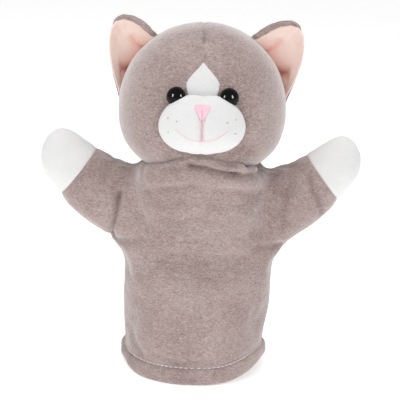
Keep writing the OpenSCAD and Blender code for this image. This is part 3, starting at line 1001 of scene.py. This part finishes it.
# painted shade: the crown's seam, the cheek creases and the muzzle's seam are marked darker
mark(head, "fold", 0.25 * marks + 0.16 * muzzle_seam)
keep_normals(head)

# %% Four panels from one form
for side, word in sides:
    half = copy_of(head, "half")
    cut(half, (0, 0, 0), (side, 0, 0))
    for name, way, node in ((f"{word}_face_velour", -1, f"{word}_face"),
                            (f"{word}_nape_velour", 1, f"{word}_head_back")):
        panel = copy_of(half, name)
        cut(panel, (0, 0, 0), (0, way, 0))
        give_thickness(panel)
        dress(panel, head_velour)
        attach(panel, "head")
        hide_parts(node)
    bpy.data.objects.remove(half)

# %% [markdown]
# ## The muzzle
# A flat disc, inset ring by ring, becomes the muzzle: each ring is pushed forward so that the cloth rises
# steeply at the seam and is full in the middle. The stitched line under the nose pulls a shallow groove.


# %% Muzzle surface
def face_depth(x, z):
    wide, deep = head_section(z)
    return -deep * np.maximum(0, 1 - (np.abs(x) / wide) ** head_power) ** (1 / head_power)


muzzle_bulge = 15.0


def muzzle_front(x, z):
    span = muzzle_span(np.arctan2(z - muzzle_middle, x))
    share = np.clip(np.hypot(x, z - muzzle_middle) / span, 0, 1)
    rise = muzzle_bulge * np.maximum(0, 1 - share**2.6) ** 0.5
    groove = 1.1 * bell(x / 1.6) * step(174, 179, z) * (1 - step(192, 198, z))
    lobes = 1.2 * bell((np.abs(x) - 14) / 9, (z - 184) / 9)
    return face_depth(x, z) - 1.6 - rise - lobes + groove


bpy.ops.mesh.primitive_circle_add(vertices=96, radius=1, fill_type="NGON")
muzzle = named("muzzle_velour")
with editing(muzzle):
    for thickness in (0.012, 0.018, 0.03, 0.05, 0.07, 0.08, 0.09, 0.1, 0.11, 0.12, 0.12, 0.1):
        bpy.ops.mesh.inset(thickness=thickness)
    bpy.ops.mesh.poke()
at = points(muzzle) / 1000
angle = np.arctan2(at[:, 1], at[:, 0])
span = muzzle_span(angle) * np.hypot(at[:, 0], at[:, 1])
x, z = span * np.cos(angle), muzzle_middle + span * np.sin(angle)
edge = np.hypot(at[:, 0], at[:, 1]) > 0.999
y = np.where(edge, face_depth(x, z) + 1.2, muzzle_front(x, z))
move_to(muzzle, columns(x, y, z))
facing_forward(muzzle)
finish_with(muzzle, "SOLIDIFY", thickness=0.0014, offset=-1)
subdivide(muzzle)
smooth(muzzle)
dress(muzzle, white_velour)
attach(muzzle, "head")
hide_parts("muzzle_cover", "muzzle_stuffing")

# %% [markdown]
# ## The blaze
# The white flame between the eyes is a small inset panel. A grid is trimmed to the flame's outline, laid on the
# face with a shrinkwrap, and thickened a little, so that its edge sits in the grey pile.

# %% Blaze
# height, half width
blaze_line = [(201, 9.0), (206, 9.4), (209, 10.2), (212.5, 10.5), (215.5, 8.8), (219, 5.6), (222.3, 2.4),
              (224.6, 0.3)]
blaze_low, blaze_top = blaze_line[0][0], blaze_line[-1][0]
bpy.ops.mesh.primitive_grid_add(x_subdivisions=18, y_subdivisions=30, size=2)
blaze = named("blaze_velour")
at = points(blaze) / 1000
z = blaze_low + (at[:, 1] + 1) / 2 * (blaze_top - blaze_low)
x = at[:, 0] * read_off(blaze_line, z)
move_to(blaze, columns(x, np.full(len(x), -80.0), z))
finish_with(blaze, "SHRINKWRAP", target=head, wrap_method="PROJECT", use_project_y=True,
            use_positive_direction=True, use_negative_direction=False, offset=0.0003)
facing_forward(blaze)
finish_with(blaze, "SOLIDIFY", thickness=0.0012, offset=-1)
smooth(blaze)
dress(blaze, white_velour)
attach(blaze, "head")
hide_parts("blaze")
bpy.data.objects.remove(head)

# %% [markdown]
# ## Paws
# A paw is a closed mitten of white velour sewn to the sleeve's end. A sphere is drawn out along the arm: round
# at the tip, a little fuller than the sleeve, and pulled in at the seam.


# %% Paws
def make_paw(side, word):
    paw, ring, angle = tube(f"{word}_paw_velour", 34, 64)
    towards_tip = 0.03 + 0.97 * np.sin(np.linspace(0.03, 1, 30) * math.pi / 2)
    share = np.array([0, 0, 0.01, 0.03, *towards_tip])[ring]
    inset = np.array([3.0, 1.4, 0.7, 0.2] + [0] * 30)[ring]
    far = seam_at - 0.4 + (arm_line[-1, 0] - seam_at + 0.4) * share
    places = arm_place(far, angle, side, inset)
    heart = (shoulder + 55 * arm_axis) * (side, 1, 1)
    puff = 0.3 * ripple(places, 26, 31) * step(seam_at, seam_at + 8, far)
    move_to(paw, places + (places - heart) / 20 * puff[:, None])
    outward(paw)
    subdivide(paw)
    smooth(paw)
    dress(paw, white_velour)
    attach(paw, f"{word}_arm")
    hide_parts(f"{word}_paw_front", f"{word}_paw_back")


for side, word in sides:
    make_paw(side, word)

# %% [markdown]
# ## Ears
# An ear is a cupped leaf: grey velour behind, pink lining in front. A grid is bent so that one edge lies on the
# head's seam and the other follows the ear's outline, and the middle is pushed back into a hollow.

# %% Ear leaf
# the ear's free edge (x, z) from its inner to its outer end
ear_line = np.array([(35, 238.5), (37.5, 242.5), (42, 246.5), (48, 249.3), (54.5, 250), (60, 247.5),
                     (63.6, 241), (65, 232), (64.8, 223), (63.2, 213), (60.8, 204), (58.0, 196)])
ear_creases = [
    # line of places (share along the ear, share of its width), depth, width
    ([(0.60, 0.0), (0.68, 0.25), (0.74, 0.5)], 2.4, 0.07),
    ([(0.22, 0.0), (0.34, 0.3), (0.36, 0.5)], 1.3, 0.06),
    ([(0.84, 0.1), (0.86, 0.5)], 1.0, 0.05),
]


def ear_places(along, out, side, rim):
    """along runs from the ear's inner end to its outer end, out from the head's seam to the free edge.

    rim is how far the layer ends before the free edge, in millimetres.
    """
    middle_share = np.sin(math.pi * along)
    where = along * (len(ear_line) - 1)
    edge = columns(*[np.interp(where, range(len(ear_line)), row) for row in ear_line.T])
    if side > 0:
        edge += columns(4.0 * middle_share, -1.5 * middle_share)
    slant = np.radians(56 - 54 * along)
    base = columns((head_half_width - 2) * np.cos(slant), cheek + (crown - cheek - 2) * np.sin(slant))
    width = np.linalg.norm(edge - base, axis=1)
    edge = base + (edge - base) * np.maximum(0.5, 1 - 1.3 / width)[:, None]
    out = out * np.clip(1 - rim / width, 0.02, 1)
    flat = base + (edge - base) * out[:, None]
    cup = 10 * middle_share**0.8 * (1 - out) ** 1.1 + 5 * middle_share * out * (1 - out)
    lip = -2.4 * np.maximum(0, out - 0.75) / 0.25 * (1 - step(0.45, 0.8, along))
    crease = np.zeros(len(along))
    for line, depth, wide in ear_creases:
        crease = np.maximum(crease, depth * valley(columns(along, out), line, wide))
    return columns(flat[:, 0], 3 + cup + lip + crease, flat[:, 1]), out, crease


def make_ear(side, word):
    for name, forward, thick, material, slot, node in (
            ("ear_velour", 0.0, 2.6, grey_velour, "grey_velour", "ear_back"),
            ("ear_lining", 1.95, 1.0, pink_lining, "pink_lining", "ear_lining")):
        bpy.ops.mesh.primitive_grid_add(x_subdivisions=64, y_subdivisions=32, size=2)
        leaf = named(f"{word}_{name}")
        at = points(leaf) / 1000
        along, out = (at[:, 0] + 1) / 2, (at[:, 1] + 1) / 2
        rim = 3.6 * step(0.4, 0.58, along)
        if name == "ear_lining":
            rim = np.interp(along, [0, 0.2, 0.38, 0.52], [4.2, 2.8, 1.4, 0.0])
        places, out, crease = ear_places(along, out, side, rim)
        move_to(leaf, places * (side, 1, 1))
        facing = normals(leaf)
        move_to(leaf, points(leaf) - facing * np.sign(facing[:, 1].mean()) * forward)
        if name == "ear_lining":
            # painted shade: the hollow near the head and the creases are marked darker
            mark(leaf, "hollow", 0.75 * (1 - out) ** 4 + 0.3 * crease)
        finish_with(leaf, "SOLIDIFY", thickness=thick / 1000, offset=0)
        finish_with(leaf, "BEVEL", width=0.35 * thick / 1000, segments=3, limit_method="ANGLE",
                    angle_limit=1.0)
        outward(leaf)
        smooth(leaf)
        dress(leaf, material)
        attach(leaf, "head")
        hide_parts(f"{word}_{node}")


for side, word in sides:
    make_ear(side, word)

# %% [markdown]
# ## Eyes
# A safety eye is a polished dome on a ribbed post that passes through the face and is locked by a washer inside
# the head. Only the dome shows, with the window of the studio lights on it.


# %% Eyes
eye_x, eye_z = 16.6, 204.0
eye_radius, eye_rise, eye_root = 6.2, 4.9, 1.2


def face_frame(x, z):
    """The place on the face and the direction that looks out of it."""
    across, up = np.array([x, x + 0.5, x]), np.array([z, z, z + 0.5])
    place, right, above = columns(across, face_depth(across, up), up)
    out = np.cross(right - place, above - place)
    return place, out / np.linalg.norm(out)


def make_eye(side, word):
    place, out = face_frame(eye_x, eye_z)
    place, out = place * (side, 1, 1), out * (side, 1, 1)
    turn = Vector(out).to_track_quat("Z", "Y").to_matrix()
    bpy.ops.mesh.primitive_uv_sphere_add(segments=64, ring_count=32, radius=1)
    eye = named(f"{word}_eye_dome")
    at = points(eye) / 1000
    at[:, 2] = np.where(at[:, 2] > 0, at[:, 2] * eye_rise, at[:, 2] * eye_root)
    at[:, :2] *= eye_radius
    move_to(eye, at @ np.array(turn).T + place + out * 0.4)
    smooth(eye)
    dress(eye, eye_plastic)
    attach(eye, "head")
    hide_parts(f"{word}_eye")
    print(eye.name, place.round(1))


for side, word in sides:
    make_eye(side, word)

# %% [markdown]
# ## Embroidery
# The nose is satin stitch: threads laid side by side over a rounded triangle. The mouth is a thin stem stitch
# that runs down from the nose and out in two short arcs. The whisker dots are single knots.

# %% Nose in satin stitch
nose_top, nose_height, nose_half_width = 202.0, 9.6, 5.1
# share of the height from the top down, share of the half width
nose_line = [(0, 0.8), (0.08, 0.97), (0.18, 1), (0.3, 0.9), (0.5, 0.66), (0.75, 0.4), (0.92, 0.2), (1, 0.06)]
bpy.ops.mesh.primitive_grid_add(x_subdivisions=88, y_subdivisions=40, size=2)
nose = named("nose_stitches")
at = points(nose) / 1000
down = (1 - at[:, 1]) / 2
x = at[:, 0] * (nose_half_width * read_off(nose_line, down))
z = nose_top - nose_height * down
swell = np.maximum(0, 1 - np.maximum(np.abs(at[:, 0]), np.abs(at[:, 1])) ** 6)
rows = 0.12 * np.abs(np.sin(at[:, 0] * 11 * math.pi))
y = muzzle_front(x, z) - 0.9 * swell ** 0.5 - rows * swell
move_to(nose, columns(x, y, z))
facing_forward(nose)
finish_with(nose, "SOLIDIFY", thickness=0.0009, offset=-1)
smooth(nose)
dress(nose, pink_thread)
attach(nose, "head")
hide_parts("nose_embroidery")


# %% Threads laid along a line
def laid_thread(name, line, radius, material, sink=0.35):
    """A twisted thread through (x, z) places, lying on the muzzle."""
    line = np.array(line, float)
    bpy.ops.mesh.primitive_cylinder_add(vertices=8, radius=0.001, depth=0.001, end_fill_type="TRIFAN")
    cord = named(name)
    count = len(line)
    bpy.ops.object.mode_set(mode="EDIT")
    bpy.ops.mesh.select_all(action="DESELECT")
    bpy.ops.object.mode_set(mode="OBJECT")
    for face in cord.data.polygons:
        face.select = face.normal.z > 0.9
    bpy.ops.object.mode_set(mode="EDIT")
    bpy.ops.mesh.select_mode(type="FACE")
    for number in range(count - 2):
        bpy.ops.mesh.extrude_region_move(TRANSFORM_OT_translate={"value": (0, 0, 0.001)})
    bpy.ops.object.mode_set(mode="OBJECT")
    at = points(cord)
    level = np.clip(np.round(at[:, 2] + 0.5).astype(int), 0, count - 1)
    centre = columns(line[:, 0], muzzle_front(*line.T) - radius + sink, line[:, 1])
    ahead = np.gradient(centre, axis=0)
    ahead /= np.linalg.norm(ahead, axis=1, keepdims=True)
    side = np.cross(ahead, [0, 1, 0])
    side /= np.linalg.norm(side, axis=1, keepdims=True)
    up = np.cross(side, ahead)
    thick = radius * (1 + 0.18 * np.sin(np.arange(count) * 2.1))
    spread = np.hypot(at[:, 0], at[:, 1]) > 0.01
    angle = np.arctan2(at[:, 1], at[:, 0])
    r = (thick[level] * spread)[:, None]
    around = np.cos(angle)[:, None] * side[level] + np.sin(angle)[:, None] * up[level]
    move_to(cord, centre[level] + r * around)
    outward(cord)
    smooth(cord)
    dress(cord, material)
    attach(cord, "head")
    return cord


mouth_low, mouth_half_width, mouth_rise = 180.2, 16, 6.5
down_line = [(0.0, z) for z in np.linspace(199, mouth_low, 34)]
smile = [(mouth_half_width * s, mouth_low + mouth_rise * abs(s) ** 2.2) for s in np.linspace(-1, 1, 61)]
laid_thread("philtrum_stitch", down_line, 0.36, rose_thread, sink=-0.5)
mouth = laid_thread("mouth_stitch", smile, 0.28, pale_thread)
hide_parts("mouth_embroidery")

# %% Whisker dots
whisker_places = [(15.7, 191.8), (21.2, 192.7), (20.8, 184.3)]
dots = []
for side in (1, -1):
    for x, z in whisker_places:
        y = muzzle_front(np.array([side * x]), np.array([z]))[0]
        bpy.ops.mesh.primitive_ico_sphere_add(subdivisions=2, radius=0.00062,
                                              location=(side * x / 1000, y / 1000, z / 1000))
        dots.append(named("dot"))
pick(*dots)
bpy.ops.object.join()
whiskers = named("whisker_stitches")
bpy.ops.object.transform_apply(location=True, rotation=True, scale=True)
smooth(whiskers)
dress(whiskers, dot_thread)
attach(whiskers, "head")
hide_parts("whisker_dots")

# %% [markdown]
# ## Pieces taken over from the frame
# What is hidden inside, and the small stitches, keep their solid shape and get their real finish.

# %% Finishes for the solids that stay
for node, material in (("neck_stitching", grey_thread), ("finger_pocket", grey_velour),
                       ("head_stuffing", white_velour), ("left_eye_washer", washer_plastic),
                       ("right_eye_washer", washer_plastic)):
    solid = frame["nodes"][node]
    solid.data.materials.clear()
    solid.data.materials.append(material)
